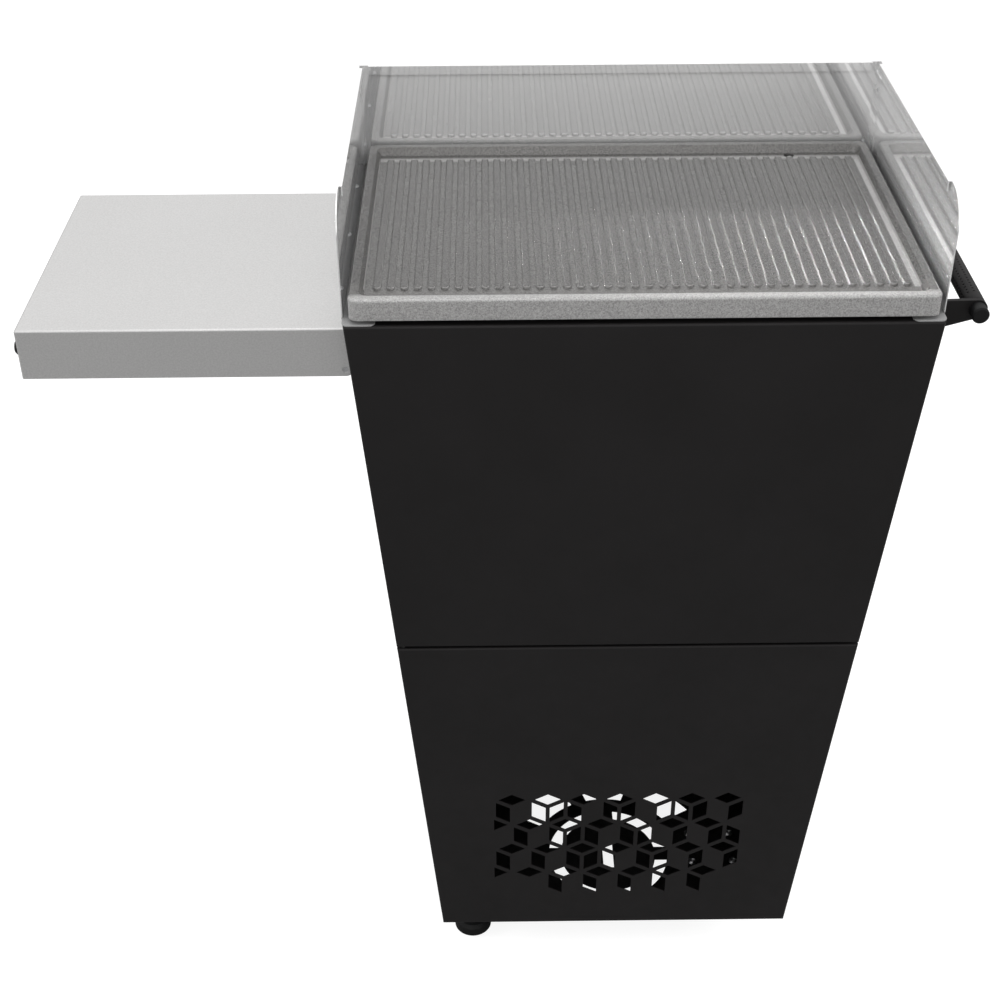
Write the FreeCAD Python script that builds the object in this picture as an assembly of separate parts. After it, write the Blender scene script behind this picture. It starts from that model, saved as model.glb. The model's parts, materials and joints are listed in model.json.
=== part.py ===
import FreeCAD, Part
import math
import os

# Free-standing gas plate grill on a tapered steel cabinet, in millimetres.
# Z is up from the floor, the user stands on the -Y side, and the folding side
# table is on -X. The grill is drawn about the cabinet's middle and moved at
# export so that the origin lies under the middle of the whole grill.

V = FreeCAD.Vector

# Cabinet
body_top_width = 600.0
body_depth = 405.0
body_height = 880.0
ground_clearance = 55.0
side_lean = 5.08
sheet = 1.5
wall_flange = 25.0
wall_inset = 1.0
upper_panel_height = 412.5
seam_gap = 3.0
panel_depth = 18.0
panel_lip = 14.0
bend_radius = 2.5
rear_screw_rows = 4
screw_radius = 2.5
screw_head_radius = 5.0
screw_head_height = 3.0
low_head_height = 1.6
head_shoulder = 0.4
head_crown = 0.65
front_screw_rows = 2

# Door and its hinge
door_depth = 14.0
hinge_inset = 7.0
hinge_pin_radius = 3.0
hinge_arm_thickness = 4.0
hinge_arm_reach = 4.2
hinge_bracket_height = 16.0
hinge_notch = 24.0
hinge_gap = 1.2
touch = 1e-6
running_clearance = 0.08
magnet_width = 40.0
magnet_height = 16.0
magnet_drop = 40.0
magnet_gap = 0.6

# Cube pattern of openings in the door
cube_pitch_across = 44.1
cube_pitch_down = 42.6
cube_slope = 28.9
cube_bridge = 5.0
cube_columns = 7
cube_top_drop = 657.5
cube_rows = (
    ("TL", "TLR", "TL", "TLR", "TR", "TLR", "TR"),
    ("T", "TL", "TLR", "TL", "TLR", "TR", "TR", "L"),
    ("TL", "TL", "TLR", "TL", "TLR", "TR", "TR"),
    ("T", "T", "TL", "TL", "TL", "TL", "TL", ""),
)

# Floor of the cabinet and its vents
floor_sheet = 2.0
vent_centre_back = 115.0
vent_inner_ring = (64.0, 80.0)
vent_outer_ring = (102.0, 142.0)
half_turn = 180.0
quarter_turn = 90.0
vent_outer_start = 30.0
vent_inner_slots = 4
vent_outer_slots = 3
vent_bridge = 22.0
vent_slot_width = 14.0
vent_slot_length = 50.0

# Rear panel vents
rear_vent_rows = 8
rear_vent_length = 120.0
rear_vent_height = 7.0
rear_vent_pitch = 22.0
rear_vent_columns = 2
rear_vent_spacing = 160.0
rear_vent_drop = 470.0

# Burner box and burners
box_sheet = 1.2
box_depth = 110.0
box_left_gap = 35.0
box_right_gap = 75.0
box_front_gap = 24.5
box_back_gap = 12.5
rim_sheet = 1.5
burner_offset = 80.0
burner_height = 876.0
burner_radius = 18.0
burner_wall = 1.2
burner_end_gap = 28.0
burner_pin_radius = 4.0
venturi_radius = 13.0
venturi_length = 70.0
venturi_cone = 25.0
venturi_stand_out = 6.0
port_count = 14
port_length = 14.0
port_width = 2.5

# Gas train on the right wall
control_drop = 65.0
valve_size = 26.0
valve_length = 38.0
valve_inset = 12.0
spindle_radius = 4.0
spindle_reach = 20.0
spindle_tail = 14.0
spindle_flat = 2.0
plug_radius = 9.0
plug_length = 16.0
valve_cover = 4.0
valve_collar_radius = 9.0
knob_travel = 2.5
spindle_hole_clearance = 1.0
nozzle_radius = 5.0
nozzle_length = 22.0
manifold_radius = 9.0
manifold_wall = 2.0
manifold_overhang = 30.0
manifold_drop = 22.0
inlet_radius = 4.5
inlet_length = 25.0
inlet_hex = 11.0
inlet_hex_height = 16.0
bezel_radius = 27.0
bezel_thickness = 2.0
knob_radius = 20.0
knob_length = 21.0
knob_gap = 3.5
knob_grip_width = 11.0
knob_grip_height = 11.0
knob_skirt_edge = 2.0
knob_taper = 4.0
knob_grip_round = 2.5
igniter_radius = 10.0
igniter_length = 46.0
igniter_flange_radius = 14.0
igniter_flange = 3.0
igniter_button_radius = 7.0
igniter_button_length = 12.0
igniter_button_depth = 10.0
igniter_travel = 5.0
igniter_end_gap = 0.3
igniter_button_round = 2.0
electrode_radius = 3.5
electrode_length = 46.0
electrode_tip_radius = 1.2
electrode_tip_length = 26.0
electrode_rise = 30.0

# Griddle plate
griddle_side_gap = 5.8
griddle_front_gap = 2.0
griddle_back_gap = 7.5
griddle_top = 28.8
griddle_skirt = 23.0
griddle_skirt_wall = 8.0
griddle_slab = 8.0
griddle_rim = 15.0
griddle_rim_slope = 5.0
griddle_recess = 8.5
griddle_front_channel = 23.0
griddle_back_channel = 16.0
griddle_corner = 10.0
griddle_edge_round = 3.0
rib_pitch = 13.7
rib_width = 8.0
rib_rise = 3.0
rib_edge_bevel = 1.0
griddle_foot_radius = 8.0
griddle_foot_in = 14.0
griddle_foot_back = 28.0
drain_radius = 6.0
drain_from_side = 100.0

# Wind shield
shield_sheet = 1.2
shield_overhang = 2.0
shield_height = 123.0
shield_flange = 34.0
shield_flange_front = 1.0
shield_front = 17.0
shield_back_gap = 2.0
shield_corner = 40.0
shield_hem_width = 3.6
shield_hem_drop = 10.5
shield_hem_start = 62.0
shield_hem_inset = 5.0
shield_return = 15.0
shield_screw_heights = (30.0, 92.0)
shield_floor_screws = 3

# Grease drawer
drawer_width = 110.0
drawer_length = 158.0
drawer_height = 38.0
drawer_wall = 1.2
drawer_drop = 6.0
drawer_fit = 1.0
drawer_ledge = 10.0
drawer_pull_radius = 10.0
drip_hole_radius = 8.0
runner_sheet = 1.5

# Side table
table_length = 338.0
table_depth = 335.0
table_drop = 20.0
table_skirt = 56.0
table_sheet = 1.5
table_gap = 2.2
table_edge_round = 2.5
table_pivot_edge = 8.0
table_pin_radius = 3.0
table_ear_thickness = 5.0
table_ear_gap = 0.8
table_ear_radius = 6.5
table_bracket_height = 36.0
table_bracket_rise = 12.0
table_bracket_width = 40.0
table_bracket_plate = 3.0
table_pin_flush = 0.2
bumper_radius = 8.0
bumper_height = 6.0
bumper_stem_radius = 3.0
bumper_round = 2.0
bumper_from_edge = 18.0

# Handle
handle_stand_out = 44.0
handle_drop = 11.0
handle_radius = 10.5
handle_wall = 1.5
handle_from_front = 49.0
handle_plate = 5.0
handle_root_height = 34.0
handle_base_length = 34.0
handle_base_plate = 4.0
handle_cap_radius = 9.0
handle_cap_length = 15.0
handle_cap_round = 1.5
handle_shoulder = 1.0
handle_spigot = 12.0
bolt_radius = 3.0
bolt_head_radius = 6.0
bolt_head_height = 4.0
bolt_nut_radius = 5.5
bolt_nut_height = 5.0

# Feet
foot_radius = 24.0
foot_flange_gap = 1.3
foot_from_front = 46.0
foot_base_height = 20.0
foot_round = 4.0
foot_neck_radius = 10.0
stud_radius = 5.0
stud_length = 16.0
nut_radius = 9.0
nut_height = 8.0

# Casters
caster_from_wall = 80.27
caster_from_front = 124.0
caster_plate_length = 76.0
caster_plate_width = 72.0
caster_plate = 3.0
caster_plate_corner = 6.0
caster_bolt_across = 55.0
caster_bolt_along = 51.0
wheel_radius = 22.0
wheel_width = 18.0
wheel_round = 3.0
wheel_hub_radius = 9.0
wheel_dish = 3.0
fork_cheek = 3.0
fork_gap = 1.5
fork_tip_radius = 9.0
fork_root = 34.0
axle_radius = 4.0
axle_head_radius = 7.0
axle_head = 3.0

# Worked out from the sizes above
body_top = ground_clearance + body_height
front = -body_depth / 2
back = body_depth / 2
lean = math.tan(math.radians(side_lean))
web = sheet / math.cos(math.radians(side_lean))
wall_top = body_top - rim_sheet
wall_front = front + panel_depth
wall_back = back - sheet
door_top = body_top - upper_panel_height - seam_gap
door_bottom = ground_clearance
control_height = body_top - control_drop
shield_floor = body_top + shield_sheet
shield_top = body_top + shield_height
shield_outer = body_top_width / 2 + shield_overhang
shield_inner = shield_outer - shield_sheet
shield_back = back - shield_back_gap
shield_front_edge = front + shield_front
griddle_width = body_top_width - 2 * griddle_side_gap
griddle_front = front + griddle_front_gap
griddle_back = back - griddle_back_gap
griddle_depth = griddle_back - griddle_front
griddle_high = body_top + griddle_top
griddle_low = griddle_high - griddle_skirt
recess_floor = griddle_high - griddle_recess
drain_y = griddle_back - griddle_rim - griddle_back_channel / 2
box_left = body_top_width / 2 - box_left_gap
box_right = body_top_width / 2 - box_right_gap
box_front = -front - box_front_gap
box_back = back - box_back_gap
box_floor = body_top - box_depth
drain_right = body_top_width / 2 - drain_from_side
table_outer = body_top_width / 2 + table_length
table_top = body_top - table_drop
table_low = table_top - table_skirt
table_pivot_z = table_low + table_pivot_edge
table_pivot_wall = body_top_width / 2 - (body_top - table_pivot_z) * lean - wall_inset
table_pivot_x = table_pivot_wall + table_gap + table_pivot_edge
handle_out = body_top_width / 2 + handle_stand_out
handle_height = body_top - handle_drop
handle_y = -front - handle_from_front
plate_low = ground_clearance + sheet
plate_high = plate_low + floor_sheet
bumper_reach = table_outer + bumper_height
handle_reach = handle_out + handle_radius
origin_x = (handle_reach - bumper_reach) / 2
origin_y = screw_head_height / 2

UP = V(0, 0, 1)
RIGHT = V(1, 0, 0)
DEEP = V(0, 1, 0)


def half_width(z):
    """Half the width of the front and rear panels at a height."""
    return body_top_width / 2 - (body_top - z) * lean


def wall_x(z):
    """Outer face of the right side wall at a height."""
    return half_width(z) - wall_inset


def block(x0, x1, y0, y1, z0, z1):
    return Part.makeBox(x1 - x0, y1 - y0, z1 - z0, V(x0, y0, z0))


def rod(start, axis, radius, length):
    return Part.makeCylinder(radius, length, start, axis)


def prism(points, direction):
    wire = Part.makePolygon(list(points) + [points[0]])
    return Part.Face(wire).extrude(direction)


def prism_y(points, y0, y1):
    """Outline of (x, z) points run from y0 to y1."""
    return prism([V(x, y0, z) for x, z in points], V(0, y1 - y0, 0))


def lathe(points, start, axis):
    """Outline of (distance along the axis, radius) points turned about the axis."""
    wire = Part.makePolygon([V(r, 0, a) for a, r in points + points[:1]])
    turned = Part.Face(wire).revolve(V(0, 0, 0), UP, 360)
    turned.Placement = FreeCAD.Placement(start, FreeCAD.Rotation(UP, axis))
    return turned


def rounded_outline(x0, x1, y0, y1, corner, z):
    """Level rectangle with round corners, as a closed wire."""
    centres = [(x1 - corner, y1 - corner), (x0 + corner, y1 - corner), (x0 + corner, y0 + corner),
               (x1 - corner, y0 + corner)]
    edges = []
    for quarter, (x, y) in enumerate(centres):
        start = quarter * quarter_turn
        edges.append(Part.makeCircle(corner, V(x, y, z), UP, start, start + quarter_turn))
    starts = [edge.Vertexes[0].Point for edge in edges]
    ends = [edge.Vertexes[-1].Point for edge in edges]
    pairs = zip(ends, starts[1:] + starts[:1])
    sides = [Part.makeLine(a, b) for a, b in pairs if a.distanceToPoint(b) > touch]
    return Part.Wire(Part.__sortEdges__(edges + sides))


def fuse(*shapes):
    return shapes[0].multiFuse(list(shapes[1:])).removeSplitter()


def cut(shape, tools):
    return shape.cut(Part.makeCompound(list(tools)))


def mirror_x(shape):
    return shape.mirror(V(0, 0, 0), RIGHT)


def mirror_y(shape):
    return shape.mirror(V(0, 0, 0), DEEP)


def on_right_wall(shape, y, z):
    """Turn a shape drawn with +X out of the wall and set it on the right wall."""
    placed = shape.copy()
    placed.rotate(V(0, 0, 0), DEEP, side_lean)
    placed.translate(V(wall_x(z), y, z))
    return placed


def save(name, shapes):
    """Write one node. A list is a group of separate solids."""
    solids = shapes if isinstance(shapes, (list, tuple)) else [shapes]
    group = Part.makeCompound([s.copy() for s in solids]) if len(solids) > 1 else solids[0].copy()
    group.translate(V(-origin_x, -origin_y, 0))
    group.exportStep("parts/" + name + ".step")


def hexagon(radius, height, start):
    """Hexagon nut blank standing on its start point."""
    corners = [V(radius * math.cos(math.radians(60 * i)), radius * math.sin(math.radians(60 * i)), 0)
               for i in range(6)]
    blank = prism(corners, V(0, 0, height))
    blank.translate(start)
    return blank


# Fastener places
handle_bolt_ys = [side * (handle_y - handle_plate - handle_base_length / 2) for side in (-1, 1)]
handle_bolt_zs = [handle_height - 3 * bolt_radius, handle_height - handle_root_height + 3 * bolt_radius]
table_ear_y = table_depth / 2 - table_sheet - table_ear_gap - table_ear_thickness
table_bracket_z = table_pivot_z + table_bracket_rise
table_bolt_ys = [side * (table_ear_y - table_bracket_width / 2) for side in (-1, 1)]
table_bolt_zs = [table_bracket_z + step * table_bracket_height / 4 for step in (-1, 1)]
caster_side = wall_x(ground_clearance) - caster_from_wall
caster_y = -front - caster_from_front
caster_bolts = [(caster_side + i * caster_bolt_across / 2, j * caster_y + k * caster_bolt_along / 2)
                for i in (-1, 1) for j in (-1, 1) for k in (-1, 1)]
foot_x = wall_x(ground_clearance) - web / 2 - wall_flange - foot_neck_radius - foot_flange_gap
foot_y = -front - foot_from_front
rear_screw_zs = [ground_clearance + body_height * (i + 0.5) / rear_screw_rows
                 for i in range(rear_screw_rows)]
shield_length = shield_back - shield_front_edge
shield_floor_screw_ys = [shield_front_edge + shield_length * (i + 0.5) / shield_floor_screws
                         for i in range(shield_floor_screws)]
shield_floor_screw_x = shield_inner - shield_flange * 0.25


def wall_bolt_hole(y, z, radius):
    length = 8 * sheet
    return on_right_wall(rod(V(-length / 2, 0, 0), RIGHT, radius, length), y, z)


def side_wall(holes):
    """Right wall: one bent sheet with flanges at front, back, top and bottom."""
    x = wall_x(ground_clearance)
    corners = [(x, wall_front), (x, wall_back), (x - wall_flange, wall_back),
               (x - wall_flange, wall_back - sheet), (x - web, wall_back - sheet),
               (x - web, wall_front + sheet), (x - wall_flange, wall_front + sheet),
               (x - wall_flange, wall_front)]
    rise = wall_top - ground_clearance
    channel = prism([V(px, py, ground_clearance) for px, py in corners], V(rise * lean, 0, rise))
    top_x = wall_x(wall_top - sheet) - web / 2
    top_flange = block(top_x - wall_flange, top_x, wall_front, wall_back, wall_top - sheet, wall_top)
    low_x = x - web / 2
    low_flange = block(low_x - wall_flange, low_x, wall_front, wall_back,
                       ground_clearance, ground_clearance + sheet)
    return cut(fuse(channel, top_flange, low_flange), holes)


def panel_outline(z0, z1, inset):
    side = inset / math.cos(math.radians(side_lean))
    low = half_width(z0 + inset) - side
    high = half_width(z1 - inset) - side
    return [(-low, z0 + inset), (low, z0 + inset), (high, z1 - inset), (-high, z1 - inset)]


def front_tray(z0, z1, depth):
    """Tapered front sheet with its four edges folded back."""
    outer = prism_y(panel_outline(z0, z1, 0), front, front + depth)
    face_edges = [e for e in outer.Edges if all(abs(v.Y - front) < touch for v in e.Vertexes)]
    outer = outer.makeFillet(bend_radius, face_edges)
    inner = prism_y(panel_outline(z0, z1, sheet), front + sheet, front + depth + sheet)
    return outer.cut(inner)


def upper_front_panel():
    z0 = door_top + seam_gap
    tray = front_tray(z0, body_top, panel_depth)
    low = half_width(z0 + sheet) - sheet
    high = half_width(body_top - sheet) - sheet
    lip = prism_y([(low - panel_lip, z0 + sheet), (low, z0 + sheet), (high, body_top - sheet),
                   (high - panel_lip, body_top - sheet)], wall_front - sheet, wall_front)
    holes = [rod(p - DEEP * 3 * sheet, DEEP, screw_radius, 4 * sheet) for p in front_screw_points()]
    return cut(fuse(tray, lip, mirror_x(lip)), holes)


def hinge_point(z):
    return V(-half_width(z) + hinge_inset, front + hinge_inset, z)


def hinge_axis():
    return (hinge_point(door_top) - hinge_point(door_bottom)).normalize()


def cube_openings():
    """Openings in the form of stacked cubes: tops, left sides and right sides."""
    slope = math.tan(math.radians(cube_slope))
    half = cube_pitch_across / 2
    rise = half * slope
    side_height = cube_pitch_down - rise
    across = cube_bridge / 2 / math.sin(math.radians(cube_slope))
    along = cube_bridge / 2 / math.cos(math.radians(cube_slope))
    top = [(0, along), (half - across, rise), (0, 2 * rise - along), (across - half, rise)]
    inner = cube_bridge / 2
    left = [(-inner, inner * slope - along), (inner - half, (half - inner) * slope - along),
            (inner - half, (half - inner) * slope - side_height + along),
            (-inner, inner * slope - side_height + along)]
    right = [(-x, z) for x, z in left]
    forms = {"T": top, "L": left, "R": right}
    shapes = []
    for row, cubes in enumerate(cube_rows):
        start = -(cube_columns - 1 + row % 2) * half
        z = body_top - cube_top_drop - row * cube_pitch_down - rise
        for column, cube in enumerate(cubes):
            x = start + column * cube_pitch_across
            for letter in cube:
                outline = [(x + px, z + pz) for px, pz in forms[letter]]
                shapes.append(prism_y(outline, front - sheet, front + 2 * sheet))
    window = block(-cube_columns * half, cube_columns * half, front - 2 * sheet, front + 3 * sheet,
                   door_bottom, door_top)
    return [shape.common(window) for shape in shapes]


def door():
    tray = front_tray(door_bottom, door_top, door_depth)
    tools = cube_openings()
    axis = hinge_axis()
    for z in (door_bottom, door_top):
        start = hinge_point(z) - axis * 4 * sheet
        tools.append(rod(start, axis, hinge_pin_radius + running_clearance, 8 * sheet))
    notches = ((door_bottom + sheet, door_bottom + hinge_notch), (door_top - hinge_notch, door_top - sheet))
    for z0, z1 in notches:
        outer = half_width(z1) + sheet
        inner = half_width(z0) - 2 * sheet
        tools.append(block(-outer, -inner, front + sheet, front + panel_depth, z0, z1))
    return cut(tray, tools)


def hinge_parts(top):
    """Hinge bracket on the left wall's front flange, and its pin, for one end of the door."""
    axis = hinge_axis()
    inward = -1 if top else 1
    z = door_top if top else door_bottom
    pivot = hinge_point(z + inward * (sheet + hinge_gap))
    arm_start = pivot if not top else pivot - axis * hinge_arm_thickness
    boss = rod(arm_start, axis, hinge_arm_reach, hinge_arm_thickness)
    arm = Part.makeBox(2 * hinge_arm_reach, panel_depth - hinge_inset, hinge_arm_thickness,
                       V(-hinge_arm_reach, 0, 0))
    arm.rotate(V(0, 0, 0), DEEP, -side_lean)
    arm.translate(arm_start)
    leg_low = 0 if not top else hinge_arm_thickness - hinge_bracket_height
    leg = Part.makeBox(2 * hinge_arm_reach, 2 * sheet, hinge_bracket_height,
                       V(-hinge_arm_reach, panel_depth - hinge_inset - 2 * sheet, leg_low))
    leg.rotate(V(0, 0, 0), DEEP, -side_lean)
    leg.translate(arm_start)
    pin_length = hinge_arm_thickness + hinge_gap + 2 * sheet
    pin_start = arm_start if top else arm_start + axis * (hinge_arm_thickness - pin_length)
    pin = rod(pin_start, axis, hinge_pin_radius, pin_length)
    return fuse(boss, arm, leg).cut(pin), pin


def magnet_catch():
    z1 = door_top - magnet_drop
    x1 = wall_x(z1 - magnet_width) - web - sheet
    return block(x1 - magnet_height, x1, front + sheet + magnet_gap, wall_front, z1 - magnet_width, z1)


def turned_head(radius, height):
    """Half outline of a low round head, as (distance, radius) points out from its seat."""
    return [(0, radius), (height * head_shoulder, radius), (height, radius * head_crown), (height, 0)]


def screw(head_point, outward, grip, head_height=screw_head_height):
    """Round-headed screw whose shank fills the sheets that it holds."""
    outline = [(-grip, 0), (-grip, screw_radius), (0, screw_radius)]
    return lathe(outline + turned_head(screw_head_radius, head_height), head_point, outward)


def bolt(head_point, outward, grip):
    """Bolt with a round head and a nut behind what it holds."""
    length = grip + bolt_nut_height
    outline = [(-length, 0), (-length, bolt_radius), (0, bolt_radius)]
    shank = lathe(outline + turned_head(bolt_head_radius, bolt_head_height), head_point, outward)
    nut = hexagon(bolt_nut_radius, bolt_nut_height, V(0, 0, 0))
    nut.Placement = FreeCAD.Placement(head_point - outward * length, FreeCAD.Rotation(UP, outward))
    return fuse(shank, nut)


def front_screw_points():
    """Heads of the screws inside the cabinet that hold the upper front panel's lips."""
    step = upper_panel_height / front_screw_rows
    zs = [body_top - (i + 0.5) * step for i in range(front_screw_rows)]
    inset = wall_inset + panel_lip * 0.6
    return [V(side * (half_width(z) - inset), wall_front + sheet, z) for z in zs for side in (-1, 1)]


def rear_screw_points():
    return [V(side * (half_width(z) - wall_inset - wall_flange / 2), back, z)
            for z in rear_screw_zs for side in (-1, 1)]


def rear_panel():
    plate = prism_y(panel_outline(ground_clearance, body_top, 0), wall_back, back)
    tools = [rod(p - DEEP * 2 * sheet, DEEP, screw_radius, 4 * sheet) for p in rear_screw_points()]
    for row in range(rear_vent_rows):
        z = body_top - rear_vent_drop - row * rear_vent_pitch
        for column in range(rear_vent_columns):
            x = (column - (rear_vent_columns - 1) / 2) * rear_vent_spacing
            tools.append(block(x - rear_vent_length / 2, x + rear_vent_length / 2,
                               wall_back - sheet, back + sheet, z, z + rear_vent_height))
    gap = drawer_fit
    low, high = drawer_levels()
    tools.append(block(drain_right - drawer_width / 2 - gap, drain_right + drawer_width / 2 + gap,
                       wall_back - sheet, back + sheet, low - gap, high + gap))
    return cut(plate, tools)


def arc_slots(centre, height, ring, start, turn, count):
    """One ring of arc-shaped slots, from a start angle over a turn, with bars left between them."""
    inner, outer = ring
    band = Part.makeCylinder(outer, height, V(0, 0, 0), UP, turn)
    band = band.cut(rod(V(0, 0, 0), UP, inner, height))
    bars = []
    for i in range(count):
        bar = Part.makeBox(2 * outer, vent_bridge, height, V(0, -vent_bridge / 2, 0))
        bar.rotate(V(0, 0, 0), UP, turn * i / count)
        bars.append(bar)
    band = cut(band, bars)
    band.rotate(V(0, 0, 0), UP, start)
    band.translate(centre)
    return band


def floor_vents():
    """Arc-shaped vents round the middle of the cabinet floor, and one straight slot."""
    centre = V(0, front + vent_centre_back, plate_low - sheet)
    height = floor_sheet + 2 * sheet
    slot = block(-vent_slot_width / 2, vent_slot_width / 2, centre.y - vent_slot_length / 2,
                 centre.y + vent_slot_length / 2, plate_low - sheet, plate_high + sheet)
    return [arc_slots(centre, height, vent_inner_ring, 0, 360, vent_inner_slots),
            arc_slots(centre, height, vent_outer_ring, vent_outer_start, half_turn - 2 * vent_outer_start,
                      vent_outer_slots), slot]


def bottom_plate():
    x = wall_x(plate_low) - web - wall_inset
    plate = block(-x, x, wall_front + 2 * sheet, wall_back - 2 * sheet, plate_low, plate_high)
    tools = floor_vents()
    for px, py in caster_bolts:
        tools.append(rod(V(px, py, plate_low - sheet), UP, bolt_radius, 4 * floor_sheet))
    for side in (-1, 1):
        tools.append(rod(V(-foot_x, side * foot_y, plate_low - sheet), UP, stud_radius, 4 * floor_sheet))
    return cut(plate, tools)


def burner_box():
    """Pressed steel box under the griddle, hung by its rim on the side walls."""
    outer = block(-box_left, box_right, -box_front, box_back, box_floor, body_top)
    inner = block(box_sheet - box_left, box_right - box_sheet, box_sheet - box_front, box_back - box_sheet,
                  box_floor + box_sheet, body_top)
    rim_x = wall_x(wall_top) - web - sheet
    rim = block(-rim_x, rim_x, wall_front + 2 * sheet, wall_back - sheet, wall_top, body_top)
    tools = [inner]
    for side in (-1, 1):
        y = side * burner_offset
        tools.append(rod(V(box_right - 5 * sheet, y, burner_height), RIGHT,
                         venturi_radius + running_clearance, 10 * sheet))
        tools.append(rod(V(-box_left - 5 * sheet, y, burner_height), RIGHT,
                         burner_pin_radius + running_clearance, 10 * sheet))
        tools.append(rod(V(box_right - 5 * sheet, y, burner_height + electrode_rise), RIGHT,
                         electrode_radius, 10 * sheet))
    tools.append(rod(V(drain_right, drain_y, box_floor - sheet), UP, drip_hole_radius, 4 * sheet))
    for y in shield_floor_screw_ys:
        for x in (-shield_floor_screw_x, shield_floor_screw_x):
            tools.append(rod(V(x, y, wall_top - sheet), UP, screw_radius, 4 * sheet))
    return cut(outer.fuse(rim), tools)


def burner():
    """Tube burner along X with a closed left end on a pin and a narrow inlet at the right."""
    left = -box_left - box_sheet
    tube_left = -box_left + burner_end_gap
    tube_right = box_right - venturi_length
    mouth = box_right + venturi_stand_out
    cone_end = tube_right + venturi_cone
    bore = burner_radius - burner_wall
    throat = venturi_radius - burner_wall
    profile = [(left, 0), (left, burner_pin_radius), (tube_left, burner_pin_radius),
               (tube_left, burner_radius), (tube_right, burner_radius), (cone_end, venturi_radius),
               (mouth, venturi_radius), (mouth, throat), (cone_end, throat), (tube_right, bore),
               (tube_left + burner_wall, bore), (tube_left + burner_wall, 0)]
    tube = lathe(profile, V(0, burner_offset, burner_height), RIGHT)
    span = tube_right - tube_left - 2 * port_length
    ports = []
    for i in range(port_count):
        x = tube_left + port_length + span * (i + 0.5) / port_count
        for side in (-1, 1):
            y = burner_offset + side * burner_radius / 3
            ports.append(block(x - port_length / 2, x + port_length / 2,
                               y - port_width / 2, y + port_width / 2,
                               burner_height + burner_radius / 2, burner_height + 2 * burner_radius))
    return cut(tube, ports)


def electrode():
    x = box_right + electrode_length / 3
    y = burner_offset
    z = burner_height + electrode_rise
    ceramic = rod(V(x, y, z), -RIGHT, electrode_radius, electrode_length)
    tip = rod(V(x - electrode_length, y, z), -RIGHT, electrode_tip_radius, electrode_tip_length)
    return fuse(ceramic, tip)


def spindle_bar(x0, x1, clearance):
    """Round bar with a flat along it, drawn along X."""
    radius = spindle_radius + clearance
    bar = rod(V(x0, 0, 0), RIGHT, radius, x1 - x0)
    flat = spindle_flat + clearance
    return bar.cut(block(x0 - 1, x1 + 1, flat, flat + radius, -radius, radius))


def plug_ends():
    outer = -valve_inset - valve_cover
    return outer - plug_length, outer


def valve():
    """Gas valve drawn with +X out of the wall: plug chamber, collar, injector and manifold neck."""
    inner = -valve_inset - valve_length
    half = valve_size / 2
    body = block(inner, -valve_inset, -half, half, -half, half)
    injector = rod(V(inner, 0, 0), -RIGHT, nozzle_radius, nozzle_length)
    middle = inner + valve_length / 2
    neck = block(middle - half / 2, middle + half / 2, -half / 2, half / 2, -manifold_drop, -half)
    pipe = rod(V(middle, -valve_size, -manifold_drop), DEEP, manifold_radius, 2 * valve_size)
    low, high = plug_ends()
    chamber = rod(V(low - knob_travel - running_clearance, 0, 0), RIGHT, plug_radius + running_clearance,
                  plug_length + knob_travel + 2 * running_clearance)
    passage = rod(V(high, 0, 0), RIGHT, spindle_radius + running_clearance, valve_cover + valve_inset)
    collar = rod(V(-valve_inset, 0, 0), RIGHT, valve_collar_radius, valve_inset - sheet)
    return cut(fuse(body, injector, neck, collar), [pipe, chamber, passage])


def valve_plug():
    """Plug that turns inside the valve, keyed to the spindle by its flat."""
    low, high = plug_ends()
    plug = rod(V(low, 0, 0), RIGHT, plug_radius, plug_length)
    return plug.cut(spindle_bar(low - 1, high + 1, running_clearance))


def spindle():
    low, high = plug_ends()
    return spindle_bar(high - spindle_tail, spindle_reach, 0)


def manifold_place():
    return V(-valve_inset - valve_length / 2, 0, -manifold_drop)


def manifold_pipe():
    length = 2 * (burner_offset + manifold_overhang)
    start = manifold_place() - DEEP * (length / 2)
    pipe = rod(start, DEEP, manifold_radius, length)
    bore = rod(start, DEEP, manifold_radius - manifold_wall, length - manifold_wall)
    return on_right_wall(pipe.cut(bore), 0, control_height)


def gas_inlet():
    """Elbow at the manifold's front end with a hose tail that points down."""
    end = manifold_place() - DEEP * (burner_offset + manifold_overhang)
    point = V(wall_x(control_height), 0, control_height)
    turn = FreeCAD.Rotation(DEEP, side_lean)
    seat = turn.multVec(end) + point
    elbow = block(seat.x - inlet_hex, seat.x + inlet_hex, seat.y - 2 * inlet_hex, seat.y,
                  seat.z - inlet_hex, seat.z + inlet_hex)
    edges = [e for e in elbow.Edges if e.Length > 2 * inlet_hex - touch]
    elbow = elbow.makeFillet(inlet_hex / 4, edges)
    centre = V(seat.x, seat.y - inlet_hex, seat.z - inlet_hex)
    nut = hexagon(inlet_hex, inlet_hex_height, V(centre.x, centre.y, centre.z - inlet_hex_height))
    tail_start = V(centre.x, centre.y, centre.z - inlet_hex_height)
    tail = rod(tail_start, -UP, inlet_radius, inlet_length)
    return fuse(elbow, nut, tail)


def bezel():
    """Round plate behind a knob, bevelled at its rim, with a hole for the spindle."""
    hole = spindle_radius + spindle_hole_clearance
    return lathe([(0, hole), (0, bezel_radius), (bezel_thickness / 2, bezel_radius),
                  (bezel_thickness, bezel_radius - bezel_thickness), (bezel_thickness, hole)],
                 V(0, 0, 0), RIGHT)


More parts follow.
